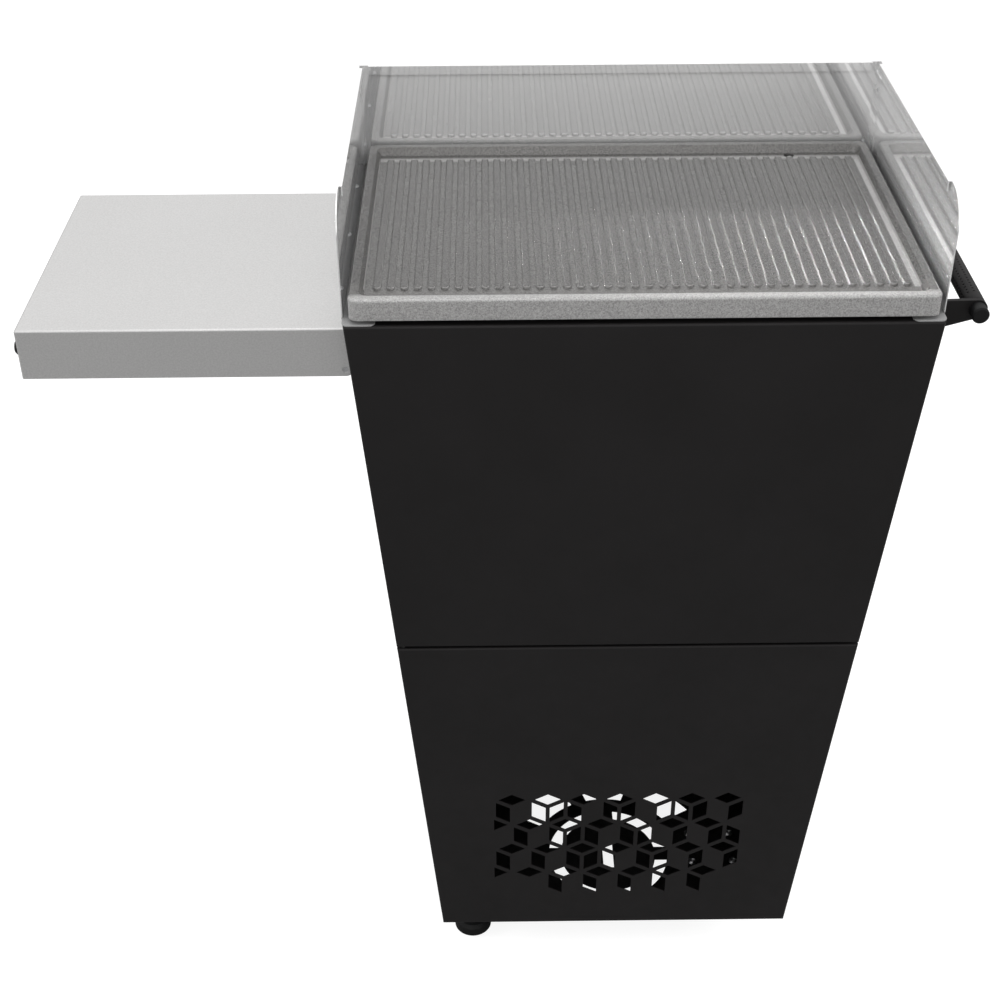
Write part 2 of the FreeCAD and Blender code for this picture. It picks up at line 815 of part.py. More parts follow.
def knob():
    """Round skirt with a raised bar to grip, bored for the spindle with its flat."""
    base = bezel_thickness + knob_gap
    end = base + knob_length
    grip_x = end - knob_grip_height
    reach = knob_radius - knob_taper
    skirt = lathe([(base, 0), (base, knob_radius), (base + knob_skirt_edge, knob_radius),
                   (grip_x, reach), (grip_x, 0)], V(0, 0, 0), RIGHT)
    grip = block(base + knob_skirt_edge, end, -knob_grip_width / 2, knob_grip_width / 2, -reach, reach)
    round_edges = [e for e in grip.Edges if abs(e.CenterOfMass.x - end) < touch
                   or abs(e.Length - knob_length + knob_skirt_edge) < touch]
    grip = grip.makeFillet(knob_grip_round, round_edges)
    return fuse(skirt, grip).cut(spindle_bar(base - 1, spindle_reach, 0))


def igniter_body():
    barrel = rod(V(-igniter_length, 0, 0), RIGHT, igniter_radius, igniter_length)
    flange = rod(V(0, 0, 0), RIGHT, igniter_flange_radius, igniter_flange)
    well = rod(V(-igniter_button_depth - igniter_travel - igniter_end_gap, 0, 0), RIGHT,
               igniter_button_radius + running_clearance, igniter_length)
    return fuse(barrel, flange).cut(well)


def igniter_button():
    end = igniter_button_length - igniter_flange
    return lathe([(-igniter_button_depth, 0), (-igniter_button_depth, igniter_button_radius),
                  (end - igniter_button_round, igniter_button_radius),
                  (end, igniter_button_radius - igniter_button_round), (end, 0)], V(0, 0, 0), RIGHT)


def griddle_rib(y0, y1):
    """Raised rib with round ends and bevelled top edges, rooted in the plate's floor."""
    outline = rounded_outline(-rib_width / 2, rib_width / 2, y0, y1, rib_width / 2, recess_floor - rib_rise)
    rib = Part.Face(outline).extrude(UP * (2 * rib_rise))
    top = [e for e in rib.Edges if min(v.Z for v in e.Vertexes) > recess_floor]
    return rib.makeChamfer(rib_edge_bevel, top)


def griddle_plate():
    """Cast plate: raised rim, channels at front and back, and ribs with round ends between them."""
    half = griddle_width / 2
    outline = rounded_outline(-half, half, griddle_front, griddle_back, griddle_corner, griddle_low)
    cast = Part.Face(outline).extrude(UP * griddle_skirt)
    rim_edges = [e for e in cast.Edges if min(v.Z for v in e.Vertexes) > griddle_high - touch]
    cast = cast.makeFillet(griddle_edge_round, rim_edges)
    land = griddle_rim - griddle_rim_slope
    mouth = rounded_outline(land - half, half - land, griddle_front + land, griddle_back - land,
                            griddle_corner, griddle_high)
    floor = rounded_outline(griddle_rim - half, half - griddle_rim, griddle_front + griddle_rim,
                            griddle_back - griddle_rim, griddle_corner - griddle_rim_slope, recess_floor)
    recess = Part.makeLoft([floor, mouth], True, True)
    wall = griddle_skirt_wall
    hollow = block(wall - half, half - wall, griddle_front + wall, griddle_back - wall,
                   griddle_low, recess_floor - griddle_slab)
    cast = cut(cast, [recess, hollow])
    rib = griddle_rib(griddle_front + griddle_rim + griddle_front_channel,
                      griddle_back - griddle_rim - griddle_back_channel)
    count = int((griddle_width - 2 * griddle_rim - rib_width) / rib_pitch)
    added = []
    for i in range(count):
        placed = rib.copy()
        placed.translate(V((i - (count - 1) / 2) * rib_pitch, 0, 0))
        added.append(placed)
    middle = (griddle_front + griddle_back) / 2
    reach = griddle_depth / 2 - griddle_foot_back
    for x in (griddle_foot_in - half, half - griddle_foot_in):
        for y in (middle - reach, middle + reach):
            added.append(rod(V(x, y, shield_floor), UP, griddle_foot_radius,
                             recess_floor - griddle_slab / 2 - shield_floor))
    drain = rod(V(drain_right, drain_y, griddle_low), UP, drain_radius, griddle_skirt)
    return cast.multiFuse(added).cut(drain).removeSplitter()


def shield_hem(length_start, length_end):
    """Folded top edge of a shield, drawn along Y with the sheet's inner face at x = 0."""
    fold = block(-shield_hem_width, 0, length_start, length_end, shield_top - shield_sheet, shield_top)
    lip = block(-shield_hem_width, shield_sheet - shield_hem_width, length_start, length_end,
                shield_top - shield_hem_drop, shield_top)
    return fold.fuse(lip)


def side_shield_screws():
    """Places of the screws that hold the right shield: to the rear shield and down to the cabinet."""
    y = shield_back - shield_sheet - shield_return / 2
    corner = [(V(shield_outer, y, body_top + z), RIGHT, 2 * shield_sheet) for z in shield_screw_heights]
    grip = shield_sheet + rim_sheet + sheet
    down = [(V(shield_floor_screw_x, py, shield_floor), UP, grip) for py in shield_floor_screw_ys]
    return corner, down


def screw_holes(places, radius):
    return [rod(point - out * 3 * grip, out, radius, 6 * grip) for point, out, grip in places]


def right_shield():
    """Side sheet with a rounded front corner, a hemmed top and a foot flange."""
    y0 = shield_front_edge
    y1 = shield_back
    z0 = body_top
    z1 = shield_top
    r = shield_corner
    mid = r * (1 - math.sqrt(0.5))
    edges = [Part.LineSegment(V(shield_inner, y0, z0), V(shield_inner, y0, z1 - r)).toShape(),
             Part.Arc(V(shield_inner, y0, z1 - r), V(shield_inner, y0 + mid, z1 - mid),
                      V(shield_inner, y0 + r, z1)).toShape(),
             Part.LineSegment(V(shield_inner, y0 + r, z1), V(shield_inner, y1, z1)).toShape(),
             Part.LineSegment(V(shield_inner, y1, z1), V(shield_inner, y1, z0)).toShape(),
             Part.LineSegment(V(shield_inner, y1, z0), V(shield_inner, y0, z0)).toShape()]
    wall = Part.Face(Part.Wire(edges)).extrude(V(shield_sheet, 0, 0))
    foot = block(shield_outer - shield_flange, shield_inner + shield_sheet / 2, front + shield_flange_front,
                 shield_back - shield_sheet, body_top, shield_floor)
    tip = [e for e in foot.Edges if abs(e.Length - shield_sheet) < touch
           and abs(e.CenterOfMass.y - front - shield_flange_front) < touch]
    foot = foot.makeFillet(shield_flange / 5, tip)
    hem_end = shield_back - shield_sheet - shield_hem_width - shield_hem_inset
    hem = shield_hem(front + shield_hem_start, hem_end)
    hem.translate(V(shield_inner, 0, 0))
    corner, down = side_shield_screws()
    return cut(fuse(wall, foot, hem), screw_holes(corner + down, screw_radius))


def rear_shield():
    """Rear sheet between the side sheets, with a hemmed top and two end returns."""
    inner = shield_inner
    y = shield_back - shield_sheet
    wall = block(-inner, inner, y, shield_back, body_top, shield_top)
    hem_x = inner - shield_sheet - shield_hem_width - shield_hem_inset
    hem = shield_hem(-hem_x, hem_x)
    hem.rotate(V(0, 0, 0), UP, 90)
    hem.translate(V(0, y, 0))
    end = block(inner - shield_sheet, inner, y - shield_return, shield_back,
                shield_floor + shield_sheet, shield_top - shield_hem_drop - shield_hem_inset)
    holes = screw_holes(side_shield_screws()[0], screw_radius)
    holes = holes + [mirror_x(h) for h in holes]
    return cut(fuse(wall, hem, end, mirror_x(end)), holes)


def drawer_levels():
    high = box_floor - drawer_drop
    return high - drawer_height, high


def grease_drawer():
    low, high = drawer_levels()
    x0 = drain_right - drawer_width / 2
    x1 = drain_right + drawer_width / 2
    y1 = back
    outer = block(x0, x1, y1 - drawer_length, y1, low, high)
    uprights = [e for e in outer.Edges if abs(e.Length - drawer_height) < touch
                and e.CenterOfMass.y < y1 - 1]
    outer = outer.makeFillet(3 * drawer_wall, uprights)
    inner = block(x0 + drawer_wall, x1 - drawer_wall, y1 - drawer_length + drawer_wall, y1 - drawer_wall,
                  low + drawer_wall, high + drawer_wall)
    notch = rod(V(drain_right, y1 - 2 * drawer_wall, high), DEEP, drawer_pull_radius, 4 * drawer_wall)
    return cut(outer, [inner, notch])


def drawer_runner():
    """Right runner: hung from the burner box, with a ledge under the drawer's edge."""
    low, high = drawer_levels()
    x = drain_right + drawer_width / 2 + drawer_fit
    y0 = back - drawer_length
    y1 = wall_back - sheet - drawer_fit
    side = block(x, x + runner_sheet, y0, y1, low - runner_sheet, box_floor)
    ledge = block(x - drawer_ledge, x + runner_sheet, y0, y1, low - runner_sheet, low)
    top = block(x, x + drawer_ledge, y0, y1, box_floor - runner_sheet, box_floor)
    return fuse(side, ledge, top)


def table_end(z):
    """Inner end of the table's sheet, which follows the leaning wall."""
    return wall_x(z) + table_gap


def side_table():
    """Folded sheet top with a skirt at the front, back and outer end, open towards the cabinet."""
    half = table_depth / 2
    ends = [(-table_outer, table_low), (-table_pivot_x, table_low), (-table_pivot_x, table_pivot_z),
            (-table_end(table_pivot_z), table_pivot_z), (-table_end(table_top), table_top),
            (-table_outer, table_top)]
    outer = prism_y(ends, -half, half)
    knuckle = rod(V(-table_pivot_x, -half, table_pivot_z), DEEP, table_pivot_edge, table_depth)
    outer = fuse(outer, knuckle)
    middle = -table_outer / 2
    top_edges = [e for e in outer.Edges if all(abs(v.Z - table_top) < touch for v in e.Vertexes)
                 and (e.CenterOfMass.x < 2 * middle + 1 or e.Length > table_length / 2
                      and abs(e.CenterOfMass.y) > 1)]
    uprights = [e for e in outer.Edges if abs(e.Length - table_skirt) < touch
                and e.CenterOfMass.x < middle]
    outer = outer.makeFillet(table_edge_round, top_edges + uprights)
    inner = block(table_sheet - table_outer, 0, table_sheet - half, half - table_sheet,
                  table_low, table_top - table_sheet)
    tools = [inner]
    for side in (-1, 1):
        tools.append(rod(V(-table_pivot_x, side * half - 3 * table_sheet, table_pivot_z), DEEP,
                         table_pin_radius + running_clearance, 6 * table_sheet))
        tools.append(rod(V(-table_outer - table_sheet, side * (half - bumper_from_edge),
                           table_top - table_skirt / 2), RIGHT, bumper_stem_radius, 3 * table_sheet))
    return cut(outer, tools)


def table_bumper():
    """Round rubber bumper with a stem pushed into the table's end skirt."""
    stem = 2 * table_sheet
    face = bumper_radius - bumper_round
    outline = [(-stem, 0), (-stem, bumper_stem_radius), (0, bumper_stem_radius), (0, bumper_radius),
               (bumper_height - bumper_round, bumper_radius), (bumper_height, face), (bumper_height, 0)]
    centre = V(-table_outer, table_depth / 2 - bumper_from_edge, table_top - table_skirt / 2)
    return lathe(outline, centre, -RIGHT)


def table_bracket():
    """Bracket on the left wall: a base on the wall and an ear that reaches the table's pivot pin."""
    base = block(0, table_bracket_plate, -table_bracket_width, table_ear_thickness,
                 -table_bracket_height / 2, table_bracket_height / 2)
    base = on_right_wall(base, table_ear_y, table_bracket_z)
    root = wall_x(table_pivot_z) + table_bracket_plate / 2
    high = table_bracket_z + table_bracket_height / 2
    arm = prism_y([(root, table_pivot_z - table_ear_radius / 2),
                   (table_pivot_x, table_pivot_z - table_ear_radius),
                   (table_pivot_x + table_ear_radius, table_pivot_z),
                   (wall_x(high) + table_bracket_plate, high - table_bracket_plate),
                   (wall_x(high) + table_bracket_plate / 2, high - table_bracket_plate)],
                  table_ear_y, table_ear_y + table_ear_thickness)
    eye = rod(V(table_pivot_x, table_ear_y, table_pivot_z), DEEP, table_ear_radius, table_ear_thickness)
    pin_hole = rod(V(table_pivot_x, table_ear_y - 1, table_pivot_z), DEEP, table_pin_radius,
                   table_ear_thickness + 2)
    holes = [wall_bolt_hole(table_bolt_ys[1], z, bolt_radius) for z in table_bolt_zs]
    return mirror_x(cut(fuse(base, arm, eye), [pin_hole] + holes))


def table_pin():
    """Pin pressed into the rear ear, ending just inside the table skirt's outer face."""
    start = V(-table_pivot_x, table_ear_y, table_pivot_z)
    return rod(start, DEEP, table_pin_radius, table_depth / 2 - table_pin_flush - table_ear_y)


def handle_tube():
    length = 2 * handle_y - handle_plate
    start = V(handle_out, -length / 2, handle_height)
    bore = rod(start, DEEP, handle_radius - handle_wall, length)
    return rod(start, DEEP, handle_radius, length).cut(bore)


def handle_bracket():
    """Rear bracket: a tapered plate with a round end at the tube and a base bolted to the wall."""
    y0 = handle_y - handle_plate / 2
    y1 = handle_y + handle_plate / 2
    r = handle_radius
    high = handle_height + r - handle_shoulder
    low = high - handle_root_height
    plate = prism_y([(wall_x(low), low), (handle_out, handle_height - r), (handle_out, handle_height + r),
                     (wall_x(high) - handle_shoulder, high)], y0, y1)
    eye = rod(V(handle_out, y0, handle_height), DEEP, r, handle_plate)
    base_half = handle_root_height / 2 - handle_shoulder
    base = block(0, handle_base_plate, -handle_base_length, handle_plate / 2, -base_half, base_half)
    base = on_right_wall(base, handle_y, (high + low) / 2)
    body = fuse(plate, eye, base)
    under = low - handle_plate
    over = high + handle_plate
    outside = prism_y([(wall_x(under), under), (2 * handle_out, under), (2 * handle_out, over),
                       (wall_x(over), over)], 0, back)
    body = body.common(outside)
    spigot = rod(V(handle_out, y0 - 1, handle_height), DEEP, handle_cap_radius - 2 * handle_wall,
                 handle_plate + 2)
    holes = [wall_bolt_hole(handle_bolt_ys[1], z, bolt_radius) for z in handle_bolt_zs]
    return cut(body, [spigot] + holes)


def handle_cap():
    """End cap outside the rear bracket, with a spigot through the bracket into the tube."""
    spigot = handle_plate + handle_spigot
    stem = handle_cap_radius - 2 * handle_wall
    end = handle_cap_length
    face = handle_cap_radius - handle_cap_round
    outline = [(-spigot, 0), (-spigot, stem), (0, stem), (0, handle_cap_radius),
               (end - handle_cap_round, handle_cap_radius), (end, face), (end, 0)]
    return lathe(outline, V(handle_out, handle_y + handle_plate / 2, handle_height), DEEP)


def wall_bolts(ys, zs, plate):
    """Bolts through a bracket and the right wall."""
    grip = plate + sheet
    shapes = []
    for y in ys:
        for z in zs:
            shapes.append(on_right_wall(bolt(V(plate, 0, 0), RIGHT, grip), y, z))
    return shapes


def foot():
    neck_top = plate_low
    profile = [(0, 0), (0, foot_radius - foot_round), (foot_round, foot_radius),
               (foot_base_height - foot_round, foot_radius), (foot_base_height, foot_radius - foot_round),
               (foot_base_height + foot_round, foot_neck_radius), (neck_top, foot_neck_radius),
               (neck_top, stud_radius), (neck_top + stud_length, stud_radius), (neck_top + stud_length, 0)]
    return lathe(profile, V(-foot_x, foot_y, 0), UP)


def foot_nut():
    nut = hexagon(nut_radius, nut_height, V(-foot_x, foot_y, plate_high))
    return nut.cut(rod(V(-foot_x, foot_y, plate_high - 1), UP, stud_radius, nut_height + 2))


def caster_fork():
    """Fixed fork: a top plate with four bolt holes and two cheeks round the wheel."""
    x = caster_side
    y = caster_y
    top = plate_low
    plate = block(x - caster_plate_length / 2, x + caster_plate_length / 2, y - caster_plate_width / 2,
                  y + caster_plate_width / 2, top - caster_plate, top)
    uprights = [e for e in plate.Edges if abs(e.Length - caster_plate) < touch]
    plate = plate.makeFillet(caster_plate_corner, uprights)
    tools = [rod(V(px, py, top - 2 * caster_plate), UP, bolt_radius, 4 * caster_plate)
             for px, py in caster_bolts if py > 0]
    inside = wheel_width / 2 + fork_gap
    cheeks = []
    for side in (-1, 1):
        y0 = y + side * inside if side > 0 else y - inside - fork_cheek
        cheek = prism_y([(x - fork_root / 2, top - caster_plate), (x - fork_tip_radius, wheel_radius),
                         (x + fork_tip_radius, wheel_radius), (x + fork_root / 2, top - caster_plate)],
                        y0, y0 + fork_cheek)
        tip = rod(V(x, y0, wheel_radius), DEEP, fork_tip_radius, fork_cheek)
        cheeks.extend([cheek, tip])
    tools.append(rod(V(x, y - 2 * inside, wheel_radius), DEEP, axle_radius, 4 * inside))
    return cut(fuse(plate, *cheeks), tools)


def caster_wheel():
    half = wheel_width / 2
    bore = axle_radius + running_clearance
    profile = [(-half, bore), (-half, wheel_hub_radius), (wheel_dish - half, wheel_hub_radius + wheel_dish),
               (wheel_dish - half, wheel_radius - 2 * wheel_round),
               (-half, wheel_radius - 1.5 * wheel_round), (-half, wheel_radius - wheel_round),
               (wheel_round - half, wheel_radius)]
    mirrored = [(-a, r) for a, r in reversed(profile)]
    return lathe(profile + mirrored, V(caster_side, caster_y, wheel_radius), DEEP)


def caster_axle():
    half = wheel_width / 2 + fork_gap + fork_cheek
    profile = [(-half - axle_head, 0), (-half - axle_head, axle_head_radius), (-half, axle_head_radius),
               (-half, axle_radius), (half, axle_radius), (half, axle_head_radius),
               (half + axle_head, axle_head_radius), (half + axle_head, 0)]
    return lathe(profile, V(caster_side, caster_y, wheel_radius), DEEP)


def build():
    shield_corner, shield_down = side_shield_screws()
    rear_holes = [rod(p - DEEP * 4 * sheet, DEEP, screw_radius, 6 * sheet) for p in rear_screw_points()]
    front_holes = [rod(p - DEEP * 3 * sheet, DEEP, screw_radius, 4 * sheet) for p in front_screw_points()]
    common = rear_holes + front_holes + screw_holes(shield_down, screw_radius)
    handle_holes = [wall_bolt_hole(y, z, bolt_radius) for y in handle_bolt_ys for z in handle_bolt_zs]
    table_holes = [wall_bolt_hole(y, z, bolt_radius) for y in table_bolt_ys for z in table_bolt_zs]
    spindle_hole = spindle_radius + spindle_hole_clearance
    spindle_holes = [wall_bolt_hole(side * burner_offset, control_height, spindle_hole) for side in (-1, 1)]
    igniter_hole = wall_bolt_hole(0, control_height, igniter_radius)
    save("right_side_wall", side_wall(common + handle_holes + spindle_holes + [igniter_hole]))
    save("left_side_wall", mirror_x(side_wall(common + table_holes)))
    save("upper_front_panel", upper_front_panel())
    save("front_panel_screws", [screw(p, DEEP, 2 * sheet) for p in front_screw_points()])
    save("rear_panel", rear_panel())
    save("rear_panel_screws", [screw(p, DEEP, 2 * sheet) for p in rear_screw_points()])
    save("bottom_plate", bottom_plate())

    save("door", door())
    upper_bracket, upper_pin = hinge_parts(True)
    lower_bracket, lower_pin = hinge_parts(False)
    save("upper_hinge_bracket", upper_bracket)
    save("lower_hinge_bracket", lower_bracket)
    save("hinge_pins", [upper_pin, lower_pin])
    save("magnet_catch", magnet_catch())

    save("burner_box", burner_box())
    save("rear_burner", burner())
    save("front_burner", mirror_y(burner()))
    save("ignition_electrodes", [electrode(), mirror_y(electrode())])
    save("manifold_pipe", manifold_pipe())
    save("gas_inlet", gas_inlet())
    for name, side in (("front", -1), ("rear", 1)):
        y = side * burner_offset
        save(name + "_valve", on_right_wall(valve(), y, control_height))
        save(name + "_valve_plug", on_right_wall(valve_plug(), y, control_height))
        save(name + "_spindle", on_right_wall(spindle(), y, control_height))
        save(name + "_knob", on_right_wall(knob(), y, control_height))
        save(name + "_bezel", on_right_wall(bezel(), y, control_height))
    save("igniter_body", on_right_wall(igniter_body(), 0, control_height))
    save("igniter_button", on_right_wall(igniter_button(), 0, control_height))

    save("griddle_plate", griddle_plate())
    save("right_shield", right_shield())
    save("left_shield", mirror_x(right_shield()))
    save("rear_shield", rear_shield())
    right_screws = [screw(*place) for place in shield_corner]
    right_screws += [screw(*place, low_head_height) for place in shield_down]
    save("shield_screws", right_screws + [mirror_x(s) for s in right_screws])

    save("grease_drawer", grease_drawer())
    runner = drawer_runner()
    other = mirror_x(runner)
    other.translate(V(2 * drain_right, 0, 0))
    save("right_drawer_runner", runner)
    save("left_drawer_runner", other)

    save("side_table", side_table())
    save("table_bumpers", [table_bumper(), mirror_y(table_bumper())])
    save("rear_table_bracket", table_bracket())
    save("front_table_bracket", mirror_y(table_bracket()))
    save("table_pins", [table_pin(), mirror_y(table_pin())])
    table_bolts = wall_bolts(table_bolt_ys, table_bolt_zs, table_bracket_plate)
    save("table_bracket_bolts", [mirror_x(b) for b in table_bolts])

    save("handle_tube", handle_tube())
    save("rear_handle_bracket", handle_bracket())
    save("front_handle_bracket", mirror_y(handle_bracket()))
    save("handle_caps", [handle_cap(), mirror_y(handle_cap())])
    save("handle_bolts", wall_bolts(handle_bolt_ys, handle_bolt_zs, handle_base_plate))

    save("rear_foot", foot())
    save("front_foot", mirror_y(foot()))
    save("foot_nuts", [foot_nut(), mirror_y(foot_nut())])
    for name, flip in (("rear", False), ("front", True)):
        for piece, shape in (("fork", caster_fork()), ("wheel", caster_wheel())):
            save(name + "_caster_" + piece, mirror_y(shape) if flip else shape)
    save("caster_axles", [caster_axle(), mirror_y(caster_axle())])
    grip = floor_sheet + caster_plate
    save("caster_bolts", [bolt(V(px, py, plate_high), UP, grip) for px, py in caster_bolts])


os.makedirs("parts", exist_ok=True)
build()
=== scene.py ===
import bmesh
import bpy
import json
import math
import numpy as np
from mathutils import Matrix, Vector

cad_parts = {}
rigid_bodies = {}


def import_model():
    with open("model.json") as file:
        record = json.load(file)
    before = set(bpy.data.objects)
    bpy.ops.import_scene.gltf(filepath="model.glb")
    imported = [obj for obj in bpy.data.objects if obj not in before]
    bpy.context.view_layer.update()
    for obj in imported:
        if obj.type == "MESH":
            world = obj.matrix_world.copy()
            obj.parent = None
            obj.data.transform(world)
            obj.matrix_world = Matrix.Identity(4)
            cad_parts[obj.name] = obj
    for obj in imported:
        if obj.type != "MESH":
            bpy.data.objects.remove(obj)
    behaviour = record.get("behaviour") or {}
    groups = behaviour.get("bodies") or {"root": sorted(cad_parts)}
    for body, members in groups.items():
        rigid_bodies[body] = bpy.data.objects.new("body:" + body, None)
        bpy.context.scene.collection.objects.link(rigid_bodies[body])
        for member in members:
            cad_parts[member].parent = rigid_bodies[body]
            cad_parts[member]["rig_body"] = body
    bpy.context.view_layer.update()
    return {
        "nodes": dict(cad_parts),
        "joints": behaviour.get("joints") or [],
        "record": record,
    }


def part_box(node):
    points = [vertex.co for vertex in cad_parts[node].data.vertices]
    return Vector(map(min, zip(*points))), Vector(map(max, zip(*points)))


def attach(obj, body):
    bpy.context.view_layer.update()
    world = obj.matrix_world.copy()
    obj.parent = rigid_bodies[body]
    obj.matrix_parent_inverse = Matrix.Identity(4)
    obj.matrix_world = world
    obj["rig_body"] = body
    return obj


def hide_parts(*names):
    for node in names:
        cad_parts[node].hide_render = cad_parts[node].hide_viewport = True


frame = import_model()
nodes = frame["nodes"]
slot_of = {part["node"]: part["material_slot"] for part in frame["record"]["subparts"]}

# Where a finish changes on its piece, in metres

# Foot flange of the shields
foot_sheet = 0.0012
foot_fade = 0.0010

# Zones of the cast plate, in from its outer edges and down from its rim
# Paler front band of the plate, partly its own uncoated cast and partly painted light on its front
# face.
uncoated_and_lit_front = 0.008
uncoated_and_lit_fade = 0.006
rib_top_below_rim = 0.0055
rib_rise = 0.003
rib_front_in = 0.038
rib_back_in = 0.031
flank_start = 0.0006
flank_end = 0.0021
flank_fade = 0.0006
rim_width = 0.015
rim_slope = 0.005
rim_fade = 0.001

# Sizes of the pieces that are modelled here, in metres
weld = 1e-5

grip_sides = 20
grip_ring = 0.003
grip_plain_end = 0.012
grip_wall = 0.0014
grip_hole_inset = 0.0004

cross_length = 0.0052
cross_depth = 0.0013
cross_taper = 0.55
socket_radius = 0.0024
socket_depth = 0.0020
socket_ledge = 0.0004
socket_point = 0.0004
socket_point_taper = 0.4
recess_rise = 0.0005

pointer_width = 0.0016
pointer_start = 0.004
pointer_length = 0.009
pointer_proud = 0.0002
pointer_depth = 0.0008
pointer_edge = 0.00015

# Camera that was fitted to the photograph: metres, degrees and millimetres
camera_place = (-0.00985, -1.6115, 1.7016)
camera_pitch = 34.746
camera_yaw = 0.4
camera_roll = -0.325
camera_lens = 57.87
camera_sensor = 36
camera_near = 0.05

# Studio: strengths of light, sines of the angle above the horizon, and metres
world_light = 0.92
wall_grey = 0.55
wall_grey_until = 0.15
wall_white_from = 0.35
floor_size = 60
floor_drop = 0.0005
floor_grey = 0.30
floor_glow = 0.86

# Finishes. Each is a Principled surface fed by noise on the piece's own coordinates.


class Finish:
    """One procedural material and short ways to add the nodes that it needs."""

    def __init__(self, name):
        self.material = bpy.data.materials.new(name)
        self.material.use_nodes = True
        self.tree = self.material.node_tree
        self.shader = self.tree.nodes["Principled BSDF"]
        self.place = self.add("ShaderNodeTexCoord").outputs["Object"]

    def add(self, kind, **settings):
        node = self.tree.nodes.new(kind)
        for key, value in settings.items():
            setattr(node, key, value)
        return node

    def join(self, source, target):
        self.tree.links.new(source, target)

    def stretched(self, scale):
        node = self.add("ShaderNodeMapping")
        node.inputs["Scale"].default_value = scale
        self.join(self.place, node.inputs["Vector"])
        return node.outputs["Vector"]

    def noise(self, scale, detail=2.0, roughness=0.5, vector=None):
        node = self.add("ShaderNodeTexNoise")
        node.inputs["Scale"].default_value = scale
        node.inputs["Detail"].default_value = detail
        node.inputs["Roughness"].default_value = roughness
        self.join(vector or self.place, node.inputs["Vector"])
        return node.outputs["Fac"]

    def ramp(self, value, low, high, start=0.3, end=0.7):
        node = self.add("ShaderNodeMapRange")
        node.inputs["From Min"].default_value = start
        node.inputs["From Max"].default_value = end
        node.inputs["To Min"].default_value = low
        node.inputs["To Max"].default_value = high
        self.join(value, node.inputs["Value"])
        return node.outputs["Result"]

    def tones(self, value, dark, light, start=0.35, end=0.65):
        node = self.add("ShaderNodeValToRGB")
        node.color_ramp.elements[0].position = start
        node.color_ramp.elements[0].color = (*dark, 1)
        node.color_ramp.elements[1].position = end
        node.color_ramp.elements[1].color = (*light, 1)
        self.join(value, node.inputs["Fac"])
        return node.outputs["Color"]

    def mixed(self, share, first, second):
        """The first colour where share is 0, the second where it is 1."""
        node = self.add("ShaderNodeMix", data_type="RGBA")
        self.join(share, node.inputs["Factor"])
        self.join(first, node.inputs["A"])
        self.join(second, node.inputs["B"])
        return node.outputs["Result"]

    def along(self, axis, start, end):
        """0 before start on the piece's own axis, rising to 1 at end."""
        parts = self.add("ShaderNodeSeparateXYZ")
        self.join(self.place, parts.inputs[0])
        return self.ramp(parts.outputs[axis], 0, 1, start, end)

    def within(self, axis, start, end, fade):
        """1 between start and end on the piece's own axis, falling to 0 over the fade outside."""
        node = self.add("ShaderNodeMath", operation="SUBTRACT")
        self.join(self.along(axis, start - fade, start), node.inputs[0])
        self.join(self.along(axis, end, end + fade), node.inputs[1])
        return node.outputs[0]

    def both(self, first, second):
        node = self.add("ShaderNodeMath", operation="MULTIPLY")
        self.join(first, node.inputs[0])
        self.join(second, node.inputs[1])
        return node.outputs[0]

    def colour(self, socket):
        self.join(socket, self.shader.inputs["Base Color"])

    def rough(self, socket):
        self.join(socket, self.shader.inputs["Roughness"])

    def metallic(self, socket):
        self.join(socket, self.shader.inputs["Metallic"])

    def bump(self, height, strength, distance, edge=0.0):
        """Fine relief, over edges that look rounded by the given radius."""
        node = self.add("ShaderNodeBump")
        node.inputs["Strength"].default_value = strength
        node.inputs["Distance"].default_value = distance
        self.join(height, node.inputs["Height"])
        if edge:
            rounding = self.add("ShaderNodeBevel", samples=4)
            rounding.inputs["Radius"].default_value = edge
            self.join(rounding.outputs["Normal"], node.inputs["Normal"])
        self.join(node.outputs["Normal"], self.shader.inputs["Normal"])

    def fixed(self, **values):
        for key, value in values.items():
            self.shader.inputs[key.replace("_", " ")].default_value = value


def grey(value):
    return (value, value, value)


def powder_coat():
    """Matt black powder coat with its fine orange-peel grain."""
    f = Finish("powder_coat")
    f.colour(f.tones(f.noise(7, 3), (0.0086, 0.0078, 0.0079), (0.0106, 0.0096, 0.0098)))
    f.rough(f.ramp(f.noise(40, 2), 0.50, 0.60))
    f.bump(f.noise(1400, 2), 0.12, 0.0003, edge=0.0007)
    f.fixed(Specular_IOR_Level=0.24)
    return f.material


def shield_steel():
    """Bright rolled stainless sheet with a fine even grain, dull on the flange that it stands on."""
    f = Finish("shield_steel")
    low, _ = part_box("right_shield")
    foot_top = low.z + foot_sheet
    wall = f.along("Z", foot_top + foot_fade, foot_top + 2 * foot_fade)
    grain = f.noise(1100, 3, 0.6)
    bright = f.tones(grain, grey(0.92), grey(0.98))
    dull = f.tones(grain, grey(0.22), grey(0.30))
    f.colour(f.mixed(wall, dull, bright))
    f.rough(f.ramp(wall, 0.45, 0.03, 0, 1))
    f.metallic(f.ramp(wall, 0.10, 0.77, 0, 1))
    f.bump(grain, 0.006, 0.0001, edge=0.0006)
    f.fixed(Specular_IOR_Level=0.3)
    return f.material


def table_steel():
    """Satin stainless of the side table, finely mottled."""
    f = Finish("table_steel")
    mottle = f.noise(520, 4, 0.65)
    f.colour(f.tones(mottle, (0.64, 0.635, 0.63), (0.73, 0.725, 0.72)))
    f.rough(f.ramp(f.noise(9, 3), 0.34, 0.42))
    f.bump(mottle, 0.05, 0.0002, edge=0.0008)
    f.fixed(Metallic=0.92, Specular_IOR_Level=0.4)
    return f.material


